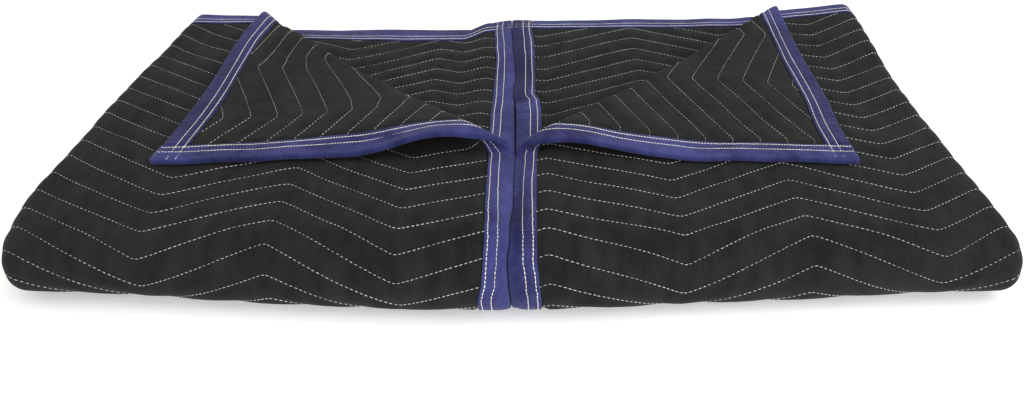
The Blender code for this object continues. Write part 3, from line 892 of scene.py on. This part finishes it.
def bindingStitches():
    # the two rows along every tape, where they show; they cross at the corners
    found = []
    inset = thread["endInset"]
    sideRun = (inset, cloth["length"] - inset, pi / 2)
    endRun = (inset - halfWidth, halfWidth - inset, 0.0)
    runs = {"left": sideRun, "right": sideRun, "head": endRun, "foot": endRun}
    for name, (start, end, direction) in runs.items():
        run = np.arange(start, end, thread["bindingPitch"])
        for number, place in enumerate(binding["rows"]):
            wander = thread["rowWander"] * lumps(run / thread["wanderSize"], 0.5, 31 + number)
            flatX, flatY = tapePlaces[name](place + wander, run)
            across = np.broadcast_to(flatX, run.shape)
            along = np.broadcast_to(flatY, run.shape)
            for top in (False, True):
                facing = np.full(len(run), top)
                shown = shownMargin(across, along, facing) > 0
                height = np.full(len(run), binding["half"] - binding["rowDepth"] * thread["tapeSunk"])
                length = np.full(len(run), thread["bindingStitch"])
                angle = np.full(len(run), direction)
                found.append(np.stack([across, along, height, angle, length, facing])[:, shown])
    return np.concatenate(found, axis=1)


# Materials. Colours are sRGB hex values, turned to linear here.
def linear(colour):
    parts = [int(colour[i:i + 2], 16) / 255 for i in (1, 3, 5)]
    return [part / 12.92 if part < 0.04045 else ((part + 0.055) / 1.055) ** 2.4 for part in parts] + [1.0]


def newMaterial(name, look):
    material = bpy.data.materials.new(name)
    material.use_nodes = True
    shader = material.node_tree.nodes["Principled BSDF"]
    shader.inputs["Roughness"].default_value = look["roughness"]
    shader.inputs["IOR"].default_value = 1.5  # about that of cotton and polyester
    shader.inputs["Specular IOR Level"].default_value = 0.2  # loose fibres mirror little
    shader.inputs["Sheen Weight"].default_value = look["sheen"]
    shader.inputs["Sheen Roughness"].default_value = look["sheenRoughness"]
    return material, shader


def addNode(material, kind, settings, values, links):
    # a node with its settings, the values of its inputs, and where its inputs come from
    node = material.node_tree.nodes.new("ShaderNode" + kind)
    for name, value in settings.items():
        setattr(node, name, value)
    for name, value in values.items():
        node.inputs[name].default_value = value
    connect(material, node, links)
    return node.outputs


def connect(material, node, links):
    for name, source in links.items():
        material.node_tree.links.new(source, node.inputs[name])


def darkToLight(material, look, amount):
    # the dark colour where this amount is low, the light one where it's high
    low, high = look["contrast"]
    share = addNode(material, "MapRange", {}, {"From Min": low, "From Max": high}, {"Value": amount})
    colours = {6: linear(look["dark"]), 7: linear(look["light"])}
    return addNode(material, "Mix", {"data_type": "RGBA"}, colours, {0: share[0]})[2]


faceCloth = {
    "dark": "#111312",
    "light": "#212321",
    "patchSize": 0.045,
    "streakSize": (0.014, 0.030),
    "speckSize": 0.0016,  # coarser than the yarn, so that it shows
    "contrast": (1.15, 1.85),  # the nearer these two, the starker the mottling
    "yarnSize": 0.0011,  # twice the real yarn's, for the same reason
    "yarnBump": {"Strength": 0.35, "Distance": 0.0004},
    "puckerSize": 0.006,
    "puckersToRow": 3.0,
    "puckerBump": {"Strength": 0.6, "Distance": 0.0012},
    "grooveFrom": 0.44,  # of a row's spacing, from half way between two rows
    "grooveShade": 0.72,
    "roughness": 0.95,
    "sheen": 0.03,
    "sheenRoughness": 0.5,
}
tape = {
    "dark": "#222450",
    "light": "#3e4079",
    # the colour of the painted shade
    "paintedShade": "#0e1038",
    "patchSize": 0.020,
    "wearSize": 0.110,  # long worn stretches
    "contrast": (0.72, 1.28),
    "weaveSize": 0.0012,  # coarser than the real one, so that it shows
    "weaveBump": {"Strength": 0.4, "Distance": 0.0004},
    "creaseSize": 0.006,
    "creaseBump": {"Strength": 0.7, "Distance": 0.0018},
    "roughness": 0.82,
    "sheen": 0.12,
    "sheenRoughness": 0.4,
}
sewingThread = {
    "dark": "#cfcabb",
    "light": "#f4f1e8",
    "twistSize": 0.0011,
    "wearSize": 0.030,
    "contrast": (0.75, 1.15),
    "roughness": 0.6,
    "sheen": 0.1,
    "sheenRoughness": 0.3,
}
quiltThread = {**sewingThread, "dark": "#8a8984", "light": "#d8d6cf"}  # finer, and grey with fluff


def makeFaceCloth(look):
    # brushed cotton and polyester cloth: matt and dark, softly mottled, a dull sheen of fluff
    material, shader = newMaterial("brushed_charcoal_cloth", look)
    flat = addNode(material, "UVMap", {"uv_map": "flat"}, {}, {})["UV"]
    rows = addNode(material, "UVMap", {"uv_map": "rows"}, {}, {})["UV"]
    patches = addNode(material, "TexNoise", {"noise_dimensions": "2D"},
                      {"Scale": 1 / look["patchSize"], "Detail": 3.0, "Roughness": 0.6}, {"Vector": flat})
    streakWide, streakLong = look["streakSize"]
    stretched = addNode(material, "Mapping", {}, {"Scale": (1 / streakWide, 1 / streakLong, 1)},
                        {"Vector": flat})
    streaks = addNode(material, "TexNoise", {"noise_dimensions": "2D"},
                      {"Scale": 1.0, "Detail": 2.0}, {"Vector": stretched["Vector"]})
    specks = addNode(material, "TexNoise", {"noise_dimensions": "2D"},
                     {"Scale": 1 / look["speckSize"], "Detail": 2.0, "Roughness": 0.7}, {"Vector": flat})
    both = addNode(material, "Math", {"operation": "ADD"}, {},
                   {0: patches["Fac"], 1: streaks["Fac"]})
    shade = addNode(material, "Math", {"operation": "ADD"}, {}, {0: both[0], 1: specks["Fac"]})
    colour = darkToLight(material, look, shade[0])
    # near a stitched row: painted shade darker in the groove, and short puckers across it
    parts = addNode(material, "SeparateXYZ", {}, {}, {"Vector": rows})
    phase = addNode(material, "Math", {"operation": "FRACT"}, {}, {0: parts["Y"]})
    middle = addNode(material, "Math", {"operation": "SUBTRACT"}, {1: 0.5}, {0: phase[0]})
    away = addNode(material, "Math", {"operation": "ABSOLUTE"}, {}, {0: middle[0]})
    near = addNode(material, "MapRange", {"interpolation_type": "SMOOTHSTEP"},
                   {"From Min": 0.30, "From Max": 0.5}, {"Value": away[0]})
    puckerMap = addNode(material, "Mapping", {},
                        {"Scale": (1 / look["puckerSize"], look["puckersToRow"], 1)}, {"Vector": rows})
    puckers = addNode(material, "TexNoise", {"noise_dimensions": "2D"},
                      {"Scale": 1.0, "Detail": 1.0}, {"Vector": puckerMap["Vector"]})
    pucker = addNode(material, "Math", {"operation": "MULTIPLY"}, {},
                     {0: puckers["Fac"], 1: near[0]})
    shading = {"From Min": look["grooveFrom"], "From Max": 0.5, "To Min": 1.0, "To Max": look["grooveShade"]}
    groove = addNode(material, "MapRange", {}, shading, {"Value": away[0]})
    dark = addNode(material, "Mix", {"data_type": "RGBA", "blend_type": "MULTIPLY"},
                   {0: 1.0}, {6: colour, 7: groove[0]})
    weave = addNode(material, "TexVoronoi", {"voronoi_dimensions": "2D"},
                    {"Scale": 1 / look["yarnSize"], "Randomness": 0.6}, {"Vector": flat})
    fine = addNode(material, "Bump", {}, look["yarnBump"], {"Height": weave["Distance"]})
    bump = addNode(material, "Bump", {}, look["puckerBump"], {"Height": pucker[0], "Normal": fine[0]})
    connect(material, shader, {"Base Color": dark[2], "Normal": bump[0]})
    return material


def makeTapeCloth(look):
    # woven polyester tape: purple navy and matt, finely woven, creased, paler where it's worn, darker with
    # painted shade by the seam and on the turned hem tape
    material, shader = newMaterial("woven_purple_tape", look)
    flat = addNode(material, "UVMap", {"uv_map": "flat"}, {}, {})["UV"]
    patches = addNode(material, "TexNoise", {"noise_dimensions": "2D"},
                      {"Scale": 1 / look["patchSize"], "Detail": 4.0, "Roughness": 0.65}, {"Vector": flat})
    wear = addNode(material, "TexNoise", {"noise_dimensions": "2D"},
                   {"Scale": 1 / look["wearSize"], "Detail": 2.0}, {"Vector": flat})
    both = addNode(material, "Math", {"operation": "ADD"}, {}, {0: patches["Fac"], 1: wear["Fac"]})
    colour = darkToLight(material, look, both[0])
    # painted shade: the shade colour where the tapes' attribute is low, by the seam and on the turned hem
    # tape
    paintedShadeFactor = addNode(material, "Attribute", {"attribute_name": "paintedShadeFactor"}, {}, {})["Fac"]
    paintedShadeColour = addNode(material, "Mix", {"data_type": "RGBA"},
                           {6: linear(look["paintedShade"])}, {0: paintedShadeFactor, 7: colour})
    weave = addNode(material, "TexVoronoi", {"voronoi_dimensions": "2D"},
                    {"Scale": 1 / look["weaveSize"], "Randomness": 0.35}, {"Vector": flat})
    creases = addNode(material, "TexNoise", {"noise_dimensions": "2D"},
                      {"Scale": 1 / look["creaseSize"], "Detail": 2.0}, {"Vector": flat})
    fine = addNode(material, "Bump", {}, look["weaveBump"], {"Height": weave["Distance"]})
    bump = addNode(material, "Bump", {}, look["creaseBump"],
                   {"Height": creases["Fac"], "Normal": fine[0]})
    connect(material, shader, {"Base Color": paintedShadeColour[2], "Normal": bump[0]})
    return material


def makeSewingThread(name, look):
    # spun polyester thread: off-white, twisted, slightly glossy, here and there sunk and duller
    material, shader = newMaterial(name, look)
    place = addNode(material, "TexCoord", {}, {}, {})["Object"]
    twist = addNode(material, "TexNoise", {}, {"Scale": 1 / look["twistSize"], "Detail": 1.0},
                    {"Vector": place})
    wear = addNode(material, "TexNoise", {}, {"Scale": 1 / look["wearSize"], "Detail": 3.0},
                   {"Vector": place})
    both = addNode(material, "Math", {"operation": "ADD"}, {}, {0: twist["Fac"], 1: wear["Fac"]})
    connect(material, shader, {"Base Color": darkToLight(material, look, both[0])})
    return material


# A pale studio: a plain floor and soft light from above and from the front
studio = {
    "floor": "#f2f2f0",
    "floorSize": 8.0,
    "floorGlow": 0.32,  # the backdrop is lit from under, as a light table is
    "worldLight": 0.70,
    "key": {"place": (0.9, -0.5, 2.1), "size": 2.0, "power": 24.0},
    "fill": {"place": (1.5, -2.4, 1.1), "size": 1.6, "power": 40.0},
}


def makeStudio(settings):
    mesh = bmesh.new()
    bmesh.ops.create_grid(mesh, x_segments=1, y_segments=1, size=settings["floorSize"] / 2)
    data = bpy.data.meshes.new("floor")
    mesh.to_mesh(data)
    mesh.free()
    floor = bpy.data.objects.new("floor", data)
    bpy.context.scene.collection.objects.link(floor)
    material = bpy.data.materials.new("matt_pale_floor")
    material.use_nodes = True
    shader = material.node_tree.nodes["Principled BSDF"]
    shader.inputs["Base Color"].default_value = linear(settings["floor"])
    shader.inputs["Roughness"].default_value = 0.9
    shader.inputs["Specular IOR Level"].default_value = 0.1
    shader.inputs["Emission Color"].default_value = linear(settings["floor"])
    shader.inputs["Emission Strength"].default_value = settings["floorGlow"]
    data.materials.append(material)
    world = bpy.data.worlds.new("pale_studio")
    world.use_nodes = True
    sky = world.node_tree.nodes["Background"]
    sky.inputs["Color"].default_value = (1.0, 1.0, 1.0, 1.0)
    sky.inputs["Strength"].default_value = settings["worldLight"]
    bpy.context.scene.world = world
    for name in ("key", "fill"):
        lamp = settings[name]
        light = bpy.data.lights.new(name + "_light", "AREA")
        light.size = lamp["size"]
        light.energy = lamp["power"]
        holder = bpy.data.objects.new(name + "_light", light)
        holder.location = lamp["place"]
        aim = -holder.location
        holder.rotation_euler = aim.to_track_quat("-Z", "Y").to_euler()
        bpy.context.scene.collection.objects.link(holder)


clothMaterial = makeFaceCloth(faceCloth)
tapeMaterial = makeTapeCloth(tape)
threadMaterial = makeSewingThread("off_white_thread", sewingThread)
quiltThreadMaterial = makeSewingThread("fine_off_white_thread", quiltThread)
print("materials made")

quiltedCloth = makeCloth(clothMaterial)
print("quilted cloth:", len(quiltedCloth.data.polygons), "faces")
bindings = makeBindings(tapeMaterial)
print("bindings:", [len(piece.data.polygons) for piece in bindings])
threads = [
    makeThread("quilting_thread_left", quiltingStitches(True), thread["quiltWidth"], quiltThreadMaterial),
    makeThread("quilting_thread_right", quiltingStitches(False), thread["quiltWidth"], quiltThreadMaterial),
    makeThread("binding_thread", bindingStitches(), thread["bindingWidth"], threadMaterial),
]
print("threads:", [len(piece.data.polygons) for piece in threads])

makeStudio(studio)
bpy.context.scene.view_settings.view_transform = "Standard"
print("studio made")
